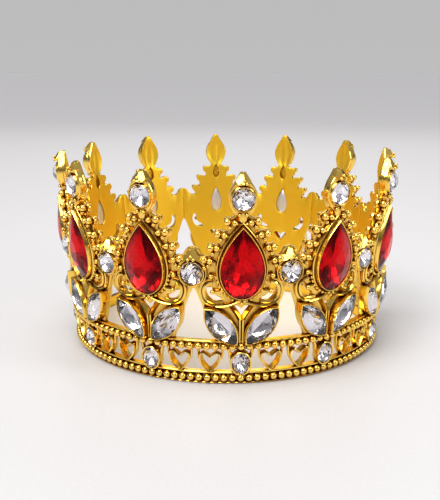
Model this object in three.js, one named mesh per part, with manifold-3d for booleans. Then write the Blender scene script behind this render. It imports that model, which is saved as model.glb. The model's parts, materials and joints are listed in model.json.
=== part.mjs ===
// A full-round costume crown: twelve identical die-cast panels soldered edge to edge into a ring that
// flares gently upwards, with glass stones glued into the cups of every panel.
// Units are millimetres, +Z is up, and the origin is on the crown's axis in the plane that it stands on.
// A panel is drawn flat first: u runs round the crown, v up the wall and w outwards from the inner face.
// Bending that flat panel round the cone gives its real shape. The cups and the stones stay flat.
import * as THREE from "three";
import { mergeVertices } from "three/addons/utils/BufferGeometryUtils.js";
import Module from "manifold-3d";

const wasm = await Module();
wasm.setup();

// Driving dimensions
const PANELS = 12;
const BASE_INNER_RADIUS = 51.4; // inner face of the wall at the base
const FLARE = 0.078; // growth of the radius for each millimetre of height
const HEIGHT = 66; // base to the tip of each point
const SOLDER_GAP = 0.3; // left between two panels, and between a stone and its cup
const STONE_PLAY = 0.15; // what a stone is cut smaller than its nominal size

const PLATE = { inner: 0, outer: 1.4 }; // the openwork plate of the points, in w
const RAIL_OUTER = 2.8; // how far the two beaded rails stand out
const LOWER_RAIL = { bottom: 0, top: 4 };
const UPPER_RAIL = { bottom: 10.7, top: 14.3 };
const HEART = { width: 7, bottom: 3.4, top: 11.1, wire: 1.25, inner: 0.4, outer: 2.3 };

const PEAR = { halfWidth: 6.65, bottom: 28.5, top: 50.8, lift: 2.1 };
const CREST = { v: 58.8, radius: 3.5, lift: 1.9 };
const SPACER = { v: 35.9, radius: 3.5, gable: 7.6 }; // over each seam, with how far its gable reaches up
const NAVETTE = { u: 5.75, v: 19.8, length: 14.5, width: 7.1, lean: 40, lift: 1.9 };
const BAND_OVAL = { v: 7, halfWidth: 2.8, halfHeight: 3.5 };

const RIM = 0.75; // thickness of a cup's wall
const CUP_DEPTH = { pear: 3.2, crest: 3.5, spacer: 3.5, navette: 4.2, band: 3.2 };
const CUP_FLOOR = 1.3; // where the hollow of a cup ends, in w
const GIRDLE_DROP = 0.2; // how far a stone's widest line lies under its cup's rim

const PRONG_BALLS = [
  // the beads at the ends of the prongs round the pear, on the right-hand side
  { u: 4.6, v: 51.6 },
  { u: 7.4, v: 47.9 },
  { u: 9.5, v: 43.6 },
  { u: 12, v: 40.1 },
];
const PRONG_BALL_RADIUS = 1.15;
const SCROLL = { u: 9.4, v: 30.3, radius: 4.3 }; // the curl on each side under the pear
const SCROLL_SLOT = { u: 8.9, v: 30.1, outer: 2.6, inner: 1.1 };
const POINT_HEAD = [
  // the right-hand side of the lobe behind the crest stone, from its shoulder down to its neck
  { u: 2, v: 63 },
  { u: 4.4, v: 59 },
  { u: 2.4, v: 53.3 },
];
const CROTCH = [
  // the right-hand side of the heart-shaped hole above the navettes
  { u: 0, v: 24.9 },
  { u: 1.7, v: 25.6 },
  { u: 2.7, v: 25 },
  { u: 1.7, v: 23.4 },
];
const CROTCH_FOOT = 21.9;

const PEAR_SIDES = 12;
const ROUND_SIDES = 8;
const NAVETTE_SIDES = 6;
const OVAL_SIDES = 8;
const FACETS = 2; // flat facets across one panel

const GOLD = 0xe2ac2c;
const RUBY = 0xc20b18;
const CRYSTAL = 0xe9e6ea;

const PITCH = (2 * Math.PI) / PANELS;
const FLARE_ANGLE = Math.atan(FLARE);
const REFERENCE_RADIUS = 55; // a flat panel's width is its angle times this radius
const REACH = 20; // further than anything on a panel reaches in u or w

const innerRadius = (v) => BASE_INNER_RADIUS + FLARE * v;
const halfPitch = (v) => (innerRadius(v) * PITCH) / 2;

// ---- solids and meshes ----

function solidOf(geometry) {
  const bare = geometry.index ? geometry.toNonIndexed() : geometry.clone();
  bare.deleteAttribute("normal");
  bare.deleteAttribute("uv");
  const merged = mergeVertices(bare, 1e-4);
  const vertProperties = merged.attributes.position.array;
  const triVerts = new Uint32Array(merged.index.array);
  return new wasm.Manifold(new wasm.Mesh({ numProp: 3, vertProperties, triVerts }));
}

const joined = (geometries) => geometries.map(solidOf).reduce((whole, next) => whole.add(next));

// A closed outline, pushed out from w = from to w = to.
function prism(points, from, to, holes = []) {
  const outline = THREE.ShapeUtils.isClockWise(points) ? [...points].reverse() : points;
  const shape = new THREE.Shape(outline);
  shape.holes = holes.map((hole) => new THREE.Path(hole));
  const geometry = new THREE.ExtrudeGeometry(shape, { depth: to - from, bevelEnabled: false });
  return geometry.translate(0, 0, from);
}

// ---- outlines ----

const point = (u, v) => new THREE.Vector2(u, v);
const mirrored = (points) => points.map((p) => point(-p.x, p.y)).reverse();
const shifted = (points, u, v) => points.map((p) => point(p.x + u, p.y + v));

function turned(points, degrees) {
  const angle = THREE.MathUtils.degToRad(degrees);
  return points.map((p) => p.clone().rotateAround(point(0, 0), angle));
}

function arc(u, v, radius, fromDegrees, toDegrees, steps) {
  const points = [];
  for (let i = 0; i <= steps; i++) {
    const a = THREE.MathUtils.degToRad(fromDegrees + ((toDegrees - fromDegrees) * i) / steps);
    points.push(point(u + radius * Math.cos(a), v + radius * Math.sin(a)));
  }
  return points;
}

function oval(halfWidth, halfHeight, sides) {
  const points = [];
  for (let i = 0; i < sides; i++) {
    const a = (2 * Math.PI * i) / sides;
    points.push(point(halfWidth * Math.cos(a), halfHeight * Math.sin(a)));
  }
  return points;
}

// A drop about its widest place: half an ellipse below, two shoulders that close to a point above.
function drop(halfWidth, below, above, sides) {
  const quarter = sides / 4;
  const points = [];
  for (let i = 0; i < quarter; i++) {
    const a = (-Math.PI / 2) * (1 - i / quarter);
    points.push(point(halfWidth * Math.cos(a), below * Math.sin(a)));
  }
  for (let i = 0; i < quarter; i++) {
    const s = i / quarter;
    points.push(point(halfWidth * (1 - s ** 1.6), above * s));
  }
  const left = points.slice(1).map((p) => point(-p.x, p.y));
  return [...points, point(0, above), ...left.reverse()];
}

// The boat shape of a navette stone: two equal arcs that meet in a point at each end.
function navette(length, width, sides) {
  const half = sides / 2;
  const sag = width / 2;
  const radius = (length ** 2 / 4 + sag ** 2) / (2 * sag);
  const sweep = Math.asin(length / 2 / radius);
  const points = [];
  for (const side of [1, -1]) {
    for (let i = 0; i < half; i++) {
      const a = -sweep + (2 * sweep * i) / half;
      points.push(point(side * (radius * Math.cos(a) - radius + sag), side * radius * Math.sin(a)));
    }
  }
  return points;
}

// A heart about its centre: a dip between two round lobes, and a point below.
function heart(width, height, wire) {
  const w = width / 2 - wire;
  const h = height / 2 - wire;
  const right = [point(0, -1.12 * h), point(w, 0.2 * h), point(0.85 * w, 0.9 * h), point(0.4 * w, h)];
  const dip = point(0, wire > 0 ? 0.4 * h : 0.62 * h);
  return [...right, dip, ...mirrored(right.slice(1))];
}

// ---- placing on the cone ----

// Cuts every triangle that crosses the plane u = fold, so that the mesh can fold there.
function creased({ vertices, triangles }, fold) {
  const cuts = new Map();
  const sideOf = (i) => (Math.abs(vertices[i][0] - fold) < 1e-3 ? 0 : Math.sign(vertices[i][0] - fold));
  const cut = (i, j) => {
    const [from, to] = i < j ? [i, j] : [j, i];
    const key = `${from} ${to}`;
    if (!cuts.has(key)) {
      const [a, b] = [vertices[from], vertices[to]];
      const t = (fold - a[0]) / (b[0] - a[0]);
      cuts.set(key, vertices.push([fold, a[1] + t * (b[1] - a[1]), a[2] + t * (b[2] - a[2])]) - 1);
    }
    return cuts.get(key);
  };
  const pieces = triangles.flatMap((triangle) => {
    const sides = triangle.map(sideOf);
    if (!sides.includes(1) || !sides.includes(-1)) return [triangle];
    const onFold = sides.indexOf(0);
    const alone = sides.findIndex((side, i) => sides.every((other, k) => k === i || other !== side));
    const first = onFold < 0 ? alone : onFold;
    const [a, b, c] = [0, 1, 2].map((i) => triangle[(first + i) % 3]);
    if (onFold >= 0) {
      const m = cut(b, c);
      return [[a, b, m], [a, m, c]];
    }
    const ab = cut(a, b);
    const ca = cut(c, a);
    return [[a, ab, ca], [ab, b, c], [ab, c, ca]];
  });
  return { vertices, triangles: pieces };
}

function inThrees(numbers) {
  const threes = [];
  for (let i = 0; i < numbers.length; i += 3) threes.push([...numbers.subarray(i, i + 3)]);
  return threes;
}

// Bends a flat solid round the cone, folding it only on a few lines up the wall.
function bent(flat) {
  const { vertProperties, triVerts } = flat.getMesh();
  let facets = { vertices: inThrees(vertProperties), triangles: inThrees(triVerts) };
  for (let i = 1; i < FACETS; i++) {
    facets = creased(facets, (i / FACETS - 0.5) * PITCH * REFERENCE_RADIUS);
  }
  const positions = facets.vertices.flatMap(([u, v, w]) => {
    const angle = u / REFERENCE_RADIUS;
    const radius = innerRadius(v) + w;
    return [radius * Math.sin(angle), -radius * Math.cos(angle), v];
  });
  const geometry = new THREE.BufferGeometry();
  geometry.setAttribute("position", new THREE.Float32BufferAttribute(positions, 3));
  geometry.setIndex(facets.triangles.flat());
  geometry.computeVertexNormals();
  return geometry;
}

// A flat outline's true widths, turned into the angles that bent() uses.
const spread = (points) =>
  points.map((p) => point((p.x * REFERENCE_RADIUS) / innerRadius(p.y), p.y));

// The frame of a stone, which stays flat: its centre on the inner face, tilted with the wall's flare.
function seatFrame(u, v) {
  const angle = u / innerRadius(v);
  const radius = innerRadius(v);
  const frame = new THREE.Matrix4().makeTranslation(radius * Math.sin(angle), -radius * Math.cos(angle), v);
  frame.multiply(new THREE.Matrix4().makeRotationZ(angle));
  frame.multiply(new THREE.Matrix4().makeRotationX(Math.PI / 2 + FLARE_ANGLE));
  return frame;
}

// ---- one panel ----

function plateOutline() {
  const balls = PRONG_BALLS.flatMap((ball, i) => {
    const last = i === PRONG_BALLS.length - 1;
    return arc(ball.u, ball.v, PRONG_BALL_RADIUS, 110, last ? 10 : -30, 1);
  });
  const seam = halfPitch(SPACER.v) - SOLDER_GAP / 2;
  const right = [
    ...POINT_HEAD.map(({ u, v }) => point(u, v)),
    ...balls,
    point(seam, SPACER.v + SPACER.radius + RIM),
    point(seam, SPACER.v - SPACER.radius),
    ...arc(SCROLL.u, SCROLL.v, SCROLL.radius, 5, -50, 2),
    point(9.5, 22),
    point(5.5, UPPER_RAIL.bottom + 1),
  ];
  return [point(0, HEIGHT), ...right, ...mirrored(right)];
}

function plateHoles() {
  const { u, v, outer, inner } = SCROLL_SLOT;
  const slot = [...arc(u, v, outer, 75, -125, 4), ...arc(u, v, inner, -125, 75, 2)];
  const right = CROTCH.map(({ u, v }) => point(u, v));
  const crotch = [...right, point(0, CROTCH_FOOT), ...mirrored(right.slice(1))];
  return [slot, mirrored(slot), crotch].map(spread);
}

function rail({ bottom, top }) {
  const half = halfPitch(bottom) - SOLDER_GAP / 2;
  const outline = [point(-half, bottom), point(half, bottom), point(half, top), point(-half, top)];
  return prism(spread(outline), 0, RAIL_OUTER);
}

function openHeart(u) {
  const height = HEART.top - HEART.bottom;
  const middle = (HEART.top + HEART.bottom) / 2;
  const place = (points) => spread(shifted(points, u, middle));
  const outline = place(heart(HEART.width, height, 0));
  const hole = place(heart(HEART.width, height, HEART.wire));
  return prism(outline, HEART.inner, HEART.outer, [hole]);
}

// The leaf that the between-points cup is cast on: a round back with a gable on top.
function spacerLeaf(margin) {
  const radius = SPACER.radius + RIM + margin;
  return [...arc(0, 0, radius, 125, 415, 6), point(0, SPACER.gable + margin)];
}

// Every seat on a panel: where its centre is, and its stone's outline with a margin round it.
const pearWidest = PEAR.bottom + 0.4 * (PEAR.top - PEAR.bottom);
const navetteOutline = (margin) =>
  navette(NAVETTE.length + 3 * margin, NAVETTE.width + 2 * margin, NAVETTE_SIDES);
function pearOutline(margin) {
  const below = pearWidest - PEAR.bottom + margin;
  const above = PEAR.top - pearWidest + 1.4 * margin;
  return drop(PEAR.halfWidth + margin, below, above, PEAR_SIDES);
}
const SEATS = {
  pear: {
    u: 0,
    v: pearWidest,
    depth: CUP_DEPTH.pear,
    lift: PEAR.lift,
    outline: pearOutline,
  },
  crest: {
    u: 0,
    v: CREST.v,
    depth: CUP_DEPTH.crest,
    lift: CREST.lift,
    outline: (margin) => oval(CREST.radius + margin, CREST.radius + margin, ROUND_SIDES),
  },
  left_navette: {
    u: -NAVETTE.u,
    v: NAVETTE.v,
    depth: CUP_DEPTH.navette,
    lift: NAVETTE.lift,
    outline: (margin) => turned(navetteOutline(margin), NAVETTE.lean),
  },
  right_navette: {
    u: NAVETTE.u,
    v: NAVETTE.v,
    depth: CUP_DEPTH.navette,
    lift: NAVETTE.lift,
    outline: (margin) => turned(navetteOutline(margin), -NAVETTE.lean),
  },
};

function panelSolid() {
  const heartSpacing = halfPitch(BAND_OVAL.v) * (2 / 3);
  const pieces = [
    prism(spread(plateOutline()), PLATE.inner, PLATE.outer, plateHoles()),
    rail(LOWER_RAIL),
    rail(UPPER_RAIL),
    openHeart(-heartSpacing),
    openHeart(heartSpacing),
  ];
  const cutters = [];
  for (const { u, v, depth, outline } of Object.values(SEATS)) {
    pieces.push(prism(spread(shifted(outline(SOLDER_GAP + RIM), u, v)), PLATE.inner, depth));
    cutters.push(prism(spread(shifted(outline(SOLDER_GAP), u, v)), CUP_FLOOR, REACH));
  }
  const bandHead = oval(BAND_OVAL.halfWidth + RIM, BAND_OVAL.halfHeight + RIM, OVAL_SIDES);
  pieces.push(prism(spread(shifted(bandHead, 0, BAND_OVAL.v)), PLATE.inner, CUP_DEPTH.band));

  // the leaf over the right-hand seam is this panel's, and the one over the left-hand seam is its neighbour's
  const seam = halfPitch(SPACER.v);
  pieces.push(prism(spread(shifted(spacerLeaf(0), seam, SPACER.v)), PLATE.inner, CUP_DEPTH.spacer));
  cutters.push(prism(spread(shifted(spacerLeaf(SOLDER_GAP), -seam, SPACER.v)), -REACH, REACH));
  return joined(pieces).subtract(joined(cutters));
}

// ---- one stone ----

// A faceted stone: rings of the same outline at falling scales, closed by a flat table and a flat foot.
function stoneGeometry(outline, rings) {
  const sides = outline.length;
  const positions = rings.flatMap(([scale, w]) => outline.flatMap((p) => [p.x * scale, p.y * scale, w]));
  const faces = [];
  for (let ring = 0; ring < rings.length - 1; ring++) {
    for (let i = 0; i < sides; i++) {
      const j = (i + 1) % sides;
      const [a, b] = [ring * sides + i, ring * sides + j];
      faces.push(a, b, b + sides, a, b + sides, a + sides);
    }
  }
  const table = (rings.length - 1) * sides;
  for (let i = 1; i < sides - 1; i++) {
    faces.push(0, i + 1, i);
    faces.push(table, table + i, table + i + 1);
  }
  const geometry = new THREE.BufferGeometry();
  geometry.setAttribute("position", new THREE.Float32BufferAttribute(positions, 3));
  geometry.setIndex(faces);
  geometry.computeVertexNormals();
  return geometry;
}

// Foot in the cup, girdle level with the rim, and the cut crown standing proud of it.
function stoneRings(cupDepth, lift) {
  return [
    [0.72, CUP_FLOOR + SOLDER_GAP],
    [1, cupDepth - GIRDLE_DROP],
    [0.5, cupDepth + lift],
  ];
}

// ---- the crown ----

const metal = new THREE.MeshStandardMaterial({ color: GOLD, roughness: 0.28, metalness: 1 });
const ruby = new THREE.MeshStandardMaterial({ color: RUBY, roughness: 0.06, metalness: 0 });
const crystal = new THREE.MeshStandardMaterial({ color: CRYSTAL, roughness: 0.05, metalness: 0 });

const crown = new THREE.Group();
const panelGeometry = bent(panelSolid());

for (let i = 0; i < PANELS; i++) {
  const number = String(i + 1).padStart(2, "0");
  const unit = new THREE.Group();
  unit.rotation.z = i * PITCH;
  const panel = new THREE.Mesh(panelGeometry, metal);
  panel.name = `panel_${number}`;
  unit.add(panel);
  for (const [name, { u, v, depth, lift, outline }] of Object.entries(SEATS)) {
    const geometry = stoneGeometry(outline(-STONE_PLAY), stoneRings(depth, lift));
    const mesh = new THREE.Mesh(geometry, name === "pear" ? ruby : crystal);
    mesh.name = `${name}_stone_${number}`;
    mesh.applyMatrix4(seatFrame(u, v));
    unit.add(mesh);
  }
  crown.add(unit);
}

export default crown;
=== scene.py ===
"""A full-round costume crown: gold-plated castings, faceted glass stones and the studio that they stand in.

Every piece is first drawn on a flat pattern in millimetres: u runs round the crown, v up the wall and w
outwards from the inner face. One panel's pattern is then bent round the cone, and copied round the ring.
"""

import json
import math

import bmesh
import bpy
from mathutils import Matrix, Vector

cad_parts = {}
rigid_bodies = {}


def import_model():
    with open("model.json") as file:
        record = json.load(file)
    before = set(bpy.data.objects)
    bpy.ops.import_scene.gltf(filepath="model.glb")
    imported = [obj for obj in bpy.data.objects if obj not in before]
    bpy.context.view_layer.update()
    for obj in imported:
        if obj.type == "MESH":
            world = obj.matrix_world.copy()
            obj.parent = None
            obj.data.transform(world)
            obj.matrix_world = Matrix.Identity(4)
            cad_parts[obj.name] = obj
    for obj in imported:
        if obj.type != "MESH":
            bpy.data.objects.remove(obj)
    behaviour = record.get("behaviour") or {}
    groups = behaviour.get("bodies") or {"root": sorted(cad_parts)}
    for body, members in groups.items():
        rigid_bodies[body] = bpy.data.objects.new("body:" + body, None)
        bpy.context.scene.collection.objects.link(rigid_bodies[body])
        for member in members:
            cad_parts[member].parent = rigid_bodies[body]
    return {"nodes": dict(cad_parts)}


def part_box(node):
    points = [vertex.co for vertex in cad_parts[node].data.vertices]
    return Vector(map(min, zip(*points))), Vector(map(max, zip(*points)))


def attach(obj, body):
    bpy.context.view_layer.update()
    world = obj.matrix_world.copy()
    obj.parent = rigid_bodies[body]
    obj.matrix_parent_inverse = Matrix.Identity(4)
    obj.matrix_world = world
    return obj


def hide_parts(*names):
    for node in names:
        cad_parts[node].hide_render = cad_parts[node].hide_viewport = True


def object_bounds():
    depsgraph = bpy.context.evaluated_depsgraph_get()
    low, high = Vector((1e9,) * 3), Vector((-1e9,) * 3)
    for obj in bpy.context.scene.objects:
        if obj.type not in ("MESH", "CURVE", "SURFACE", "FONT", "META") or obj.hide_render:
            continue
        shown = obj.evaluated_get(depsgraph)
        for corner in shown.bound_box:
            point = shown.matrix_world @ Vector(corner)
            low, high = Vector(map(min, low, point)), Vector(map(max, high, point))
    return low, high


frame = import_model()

bl_info = {
    "name": "Costume Crown",
    "version": (1, 0, 0),
    "blender": (4, 5, 0),
    "location": "View3D > Sidebar > Crown",
    "description": "Builds a gold-plated crown with glass stones, and a plain studio for it",
    "category": "Add Mesh",
}

MM = 0.001
NODES = frame["nodes"]
PANELS = sum(name.startswith("panel_") for name in NODES)
PITCH = 2 * math.pi / PANELS

CAD_BOUNDS = [list(corner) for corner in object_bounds()]
HEIGHT = CAD_BOUNDS[1][2] / MM
PANEL_BOX = [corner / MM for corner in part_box("panel_01")]
PEAR_BOX = [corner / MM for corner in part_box("pear_stone_01")]
CREST_BOX = [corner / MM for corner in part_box("crest_stone_01")]
NAVETTE_BOX = [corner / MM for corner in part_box("right_navette_stone_01")]

WALL_RADIUS = -PANEL_BOX[1].y / math.cos(PITCH / 2)  # inner face at the base, where the panels meet
FLARE = 0.078  # growth of the radius for each millimetre of height
FRONT = 3  # w of the cups' rims, where the pattern's widths are true
PLATE = 1.4  # thickness of the openwork plate

# a pear stone's widest place, then its half width and its reach below and above that place
PEAR_V = PEAR_BOX[0].z + 0.4 * (PEAR_BOX[1].z - PEAR_BOX[0].z)
PEAR = ((PEAR_BOX[1].x - PEAR_BOX[0].x) / 2, PEAR_V - PEAR_BOX[0].z, PEAR_BOX[1].z - PEAR_V)
CREST_V = (CREST_BOX[0].z + CREST_BOX[1].z) / 2
CREST_RADIUS = (CREST_BOX[1].x - CREST_BOX[0].x) / 2
NAVETTE_U = (NAVETTE_BOX[0].x + NAVETTE_BOX[1].x) / 2
NAVETTE_V = (NAVETTE_BOX[0].z + NAVETTE_BOX[1].z) / 2
PEAR_FULLNESS = 1.85  # how far the shoulders stand out before they close to the point
PEAR_LEAN = 0.05  # how much more than the wall a pear stone leans outwards
SEAM_V = 35.9  # centre of the round stone over each seam
OVAL_V = 7.0  # centre of the oval stone between the rails

# how far out each kind of cup's rim stands, in w, and how far its stone's girdle lies below the rim
PEAR_RIM = 3.9
CREST_RIM = 3.6
SEAM_RIM = 3.5
OVAL_RIM = 3.1
NAVETTE_RIM = 4.0
GIRDLE_DROP = 0.3
BEAD_W = 2.45  # where the rails' beads are centred
SHARPEST_MITRE = 2.2  # the furthest that a corner moves, for each millimetre of growth
CREASE = 35  # edges that bend more than this many degrees stay sharp


# ---- sizes ----


def length(label, description, value):
    """A length that the panel can change, from its value in mm."""
    return bpy.props.FloatProperty(name=label, description=description, default=value * MM, unit="LENGTH")


class CrownStoneSettings(bpy.types.PropertyGroup):
    """Sizes of the glass stones."""

    navette_length: length("Navette length", "Point to point", 14.35)
    navette_width: length("Navette width", "Across the middle", 6.9)
    navette_lean: bpy.props.FloatProperty(
        name="Navette lean", description="Away from upright", default=math.radians(40), subtype="ANGLE"
    )
    seam_radius: length("Seam stone radius", "Round stone over each seam", 3.45)
    oval_half_width: length("Oval half width", "Oval stone between the rails", 2.75)
    oval_half_height: length("Oval half height", "Oval stone between the rails", 3.45)


class CrownCastingSettings(bpy.types.PropertyGroup):
    """Sizes of the castings."""

    bead_radius: length("Bead radius", "Beads along both rails", 1.18)
    beads_per_panel: bpy.props.IntProperty(
        name="Beads per panel", description="Beads on one panel's length of rail", default=11, min=4
    )
    lower_bead_v: length("Lower bead height", "Centre of the lower bead row", 1.95)
    upper_bead_v: length("Upper bead height", "Centre of the upper bead row", 12.4)
    prong_ball: length("Prong ball radius", "Outer balls at the ends of the prongs", 1.12)
    curl_radius: length("Curl radius", "Half the thickness of the curls", 0.56)


# ---- the flat pattern and the cone ----


def inner_radius(v):
    return WALL_RADIUS + FLARE * v


def half_pitch(v):
    """Half of one panel's width at height v, measured over the cups' rims."""
    return (inner_radius(v) + FRONT) * PITCH / 2


def on_wall(u, v, w):
    """The place on the cone of a point of the flat pattern, in metres."""
    angle = u / (inner_radius(v) + FRONT)
    radius = inner_radius(v) + w
    return Vector((radius * math.sin(angle), -radius * math.cos(angle), v)) * MM


def seat(u, v, turn=0.0, lean=0.0):
    """The frame of a cup and its stone, which stay flat: x across, y up the wall and z outwards."""
    angle = u / (inner_radius(v) + FRONT)
    centre = on_wall(u, v, 0)
    tilt = Matrix.Rotation(angle, 4, "Z") @ Matrix.Rotation(math.pi / 2 + math.atan(FLARE) + lean, 4, "X")
    return Matrix.Translation(centre) @ tilt @ Matrix.Rotation(turn, 4, "Z") @ Matrix.Scale(MM, 4)


def settle(points, frame_at=None):
    """Moves flat points to where they belong: into a seat's frame, or bent round the cone."""
    if frame_at is None:
        return [on_wall(*p) for p in points]
    return [frame_at @ Vector(p) for p in points]


# ---- outlines: lists of (x, y), anticlockwise ----


def mirrored(points):
    """The same points on the other side of the middle line, in reverse order."""
    return [(-x, y) for x, y in reversed(points)]


def doubled(right):
    """A closed outline from its right-hand half, which runs from the bottom to the top."""
    return right + mirrored(right[1:-1])


def arc(x, y, radius, start, end, steps):
    """Points on an arc, from start to end in degrees."""
    angles = [math.radians(start + (end - start) * i / steps) for i in range(steps + 1)]
    return [(x + radius * math.cos(a), y + radius * math.sin(a)) for a in angles]


def smoothed(points, steps=4):
    """A Catmull-Rom curve through the points of an open path."""
    last = len(points) - 1
    curve = []
    for i in range(last):
        p0, p1, p2, p3 = (Vector(points[min(max(i + k, 0), last)]) for k in (-1, 0, 1, 2))
        for step in range(steps):
            t = step / steps
            blend = 2 * p1 + (p2 - p0) * t + (2 * p0 - 5 * p1 + 4 * p2 - p3) * t**2
            curve.append(tuple((blend + (3 * p1 - p0 - 3 * p2 + p3) * t**3) / 2))
    return curve + [tuple(points[-1])]


def raised(outline, height):
    return [(x, y + height) for x, y in outline]


def on_side(side, path):
    """A right-hand path, or its mirror image where side is -1."""
    return [(side * x, y) for x, y in path]


def oval(half_width, half_height, sides=40):
    turns = [2 * math.pi * i / sides for i in range(sides)]
    return [(half_width * math.cos(a), half_height * math.sin(a)) for a in turns]


def drop(half_width, below, above, steps=16):
    """A pear shape: half an ellipse below, and two full shoulders that close to a point above."""
    turns = [-math.pi / 2 * (1 - i / steps) for i in range(steps)]
    lower = [(half_width * math.cos(a), below * math.sin(a)) for a in turns]
    upper = [(half_width * (1 - (i / steps) ** PEAR_FULLNESS), above * i / steps) for i in range(steps)]
    right = lower + upper
    return right + [(0, above)] + mirrored(right[1:])


def navette(length, width, steps=12):
    """A boat shape: two equal arcs that meet in a point at each end."""
    sag = width / 2
    radius = (length**2 / 4 + sag**2) / (2 * sag)
    sweep = math.asin(length / 2 / radius)
    angles = [-sweep + 2 * sweep * i / steps for i in range(steps)]
    right = [(radius * math.cos(a) - radius + sag, radius * math.sin(a)) for a in angles]
    return right + [(-x, -y) for x, y in right]


def heart():
    """An open heart about its own centre: a dip between two lobes, and a point below."""
    return doubled(
        smoothed([(0, -3.5), (1.55, -2.2), (2.95, -0.4), (3.5, 1.5), (3.0, 3.05), (1.75, 3.4), (0, 2.2)])
    )


def grown(outline, distance):
    """The closed outline moved outwards by a distance, with its corners kept sharp."""
    result = []
    count = len(outline)
    for i, point in enumerate(outline):
        before = (Vector(point) - Vector(outline[i - 1])).normalized()
        after = (Vector(outline[(i + 1) % count]) - Vector(point)).normalized()
        along = (before + after).normalized()
        stretch = min(1 / max(before.dot(along), 0.3), SHARPEST_MITRE)
        result.append((point[0] + along.y * distance * stretch, point[1] - along.x * distance * stretch))
    return result


def sideways(path, i):
    """The unit vector to the right of an open path at its i-th point."""
    ahead = Vector(path[min(i + 1, len(path) - 1)]) - Vector(path[max(i - 1, 0)])
    return Vector((ahead.y, -ahead.x)).normalized()


def shifted_path(path, distance):
    """An open path moved sideways, to its right."""
    return [tuple(Vector(point) + sideways(path, i) * distance) for i, point in enumerate(path)]


def ribbon(path, half_widths):
    """The outline of a strip along an open path, with half widths that are evenly spread along it."""
    right, left = [], []
    for i, point in enumerate(path):
        share = (len(half_widths) - 1) * i / (len(path) - 1)
        k = min(int(share), len(half_widths) - 2)
        half = half_widths[k] + (half_widths[k + 1] - half_widths[k]) * (share - k)
        right.append(tuple(Vector(point) + sideways(path, i) * half))
        left.append(tuple(Vector(point) - sideways(path, i) * half))
    return right + left[::-1]


# ---- meshes ----


class Metalwork:
    """Collects the faces of one piece, in metres, and which of them lie at the back of a stone."""

    def __init__(self):
        self.points = []
        self.faces = []
        self.backs = []

    def add(self, points, faces, backs=None):
        start = len(self.points)
        self.points += points
        self.faces += [tuple(start + i for i in face) for face in faces]
        self.backs += backs or [False] * len(faces)

    def mesh(self, name, crease=CREASE):
        """The finished mesh, with its normals outwards and its edges sharp over the crease angle."""
        mesh = bpy.data.meshes.new(name)
        mesh.from_pydata(self.points, [], self.faces)
        mesh.attributes.new("stone_back", "BOOLEAN", "FACE").data.foreach_set("value", self.backs)
        shell = bmesh.new()
        shell.from_mesh(mesh)
        bmesh.ops.remove_doubles(shell, verts=shell.verts, dist=0.002 * MM)
        bmesh.ops.recalc_face_normals(shell, faces=shell.faces)
        shell.to_mesh(mesh)
        shell.free()
        mesh.shade_smooth()
        mesh.set_sharp_from_angle(angle=math.radians(crease))
        return mesh


def wrapped_faces(rows, size):
    """The faces between rows of points. The rows close on themselves, and so does each row."""
    faces = []
    for i in range(rows):
        j = (i + 1) % rows
        for k in range(size):
            m = (k + 1) % size
            faces.append((i * size + k, j * size + k, j * size + m, i * size + m))
    return faces


def band(outline, section, frame_at=None):
    """A section of (offset, w) points swept once round a closed outline."""
    rings = [grown(outline, offset) for offset, _ in section]
    points = [(*ring[i], w) for i in range(len(outline)) for ring, (_, w) in zip(rings, section)]
    return settle(points, frame_at), wrapped_faces(len(outline), len(section))


def wire(path, radius, w, sides=8, flatten=1.0, taper=()):
    """A rounded wire along an open path of (u, v) points, closed at both ends."""
    points = []
    for i, here in enumerate(path):
        across = sideways(path, i)
        size = radius * (taper[i] if taper else 1)
        for k in range(sides):
            a = 2 * math.pi * k / sides
            point = Vector(here) + across * size * math.cos(a)
            points.append((point.x, point.y, w + flatten * size * math.sin(a)))
    faces = []
    for i in range(len(path) - 1):
        for k in range(sides):
            m = (k + 1) % sides
            faces.append((i * sides + k, i * sides + m, (i + 1) * sides + m, (i + 1) * sides + k))
    faces.append(tuple(range(sides)))
    faces.append(tuple(range(len(points) - 1, len(points) - 1 - sides, -1)))
    return settle(points), faces


def slab(outline, holes, bottom, top, bevel, cuts=((), ()), shape=None, frame_at=None):
    """A cast plate with rounded edges, cut at the given u and v so that it can bend and take a relief."""
    drawing = bpy.data.curves.new("outline", "CURVE")
    drawing.dimensions = "2D"
    drawing.fill_mode = "BOTH"
    drawing.extrude = (top - bottom) / 2 - bevel
    drawing.bevel_depth = bevel
    drawing.bevel_resolution = 1
    drawing.offset = -bevel
    for loop in (outline, *holes):
        spline = drawing.splines.new("POLY")
        spline.points.add(len(loop) - 1)
        for point, (x, y) in zip(spline.points, loop):
            point.co = (x, y, 0, 1)
        spline.use_cyclic_u = True
    holder = bpy.data.objects.new("outline", drawing)
    raw = bpy.data.meshes.new_from_object(holder)
    plate = bmesh.new()
    plate.from_mesh(raw)
    bpy.data.batch_remove((holder, drawing, raw))
    bmesh.ops.remove_doubles(plate, verts=plate.verts, dist=0.01)
    bmesh.ops.dissolve_limit(plate, angle_limit=math.radians(1), verts=plate.verts, edges=plate.edges)
    for axis, places in enumerate(cuts):
        normal = Vector((axis == 0, axis == 1, 0))
        for place in places:
            everything = plate.verts[:] + plate.edges[:] + plate.faces[:]
            bmesh.ops.bisect_plane(plate, geom=everything, plane_co=normal * place, plane_no=normal)
    middle = (top + bottom) / 2
    points = []
    for i, vertex in enumerate(plate.verts):
        vertex.index = i
        x, y, w = vertex.co.x, vertex.co.y, vertex.co.z + middle
        points.append((x, y, w + (shape(x, y, w) if shape else 0)))
    faces = [tuple(v.index for v in face.verts) for face in plate.faces]
    plate.free()
    return settle(points, frame_at), faces


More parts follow.
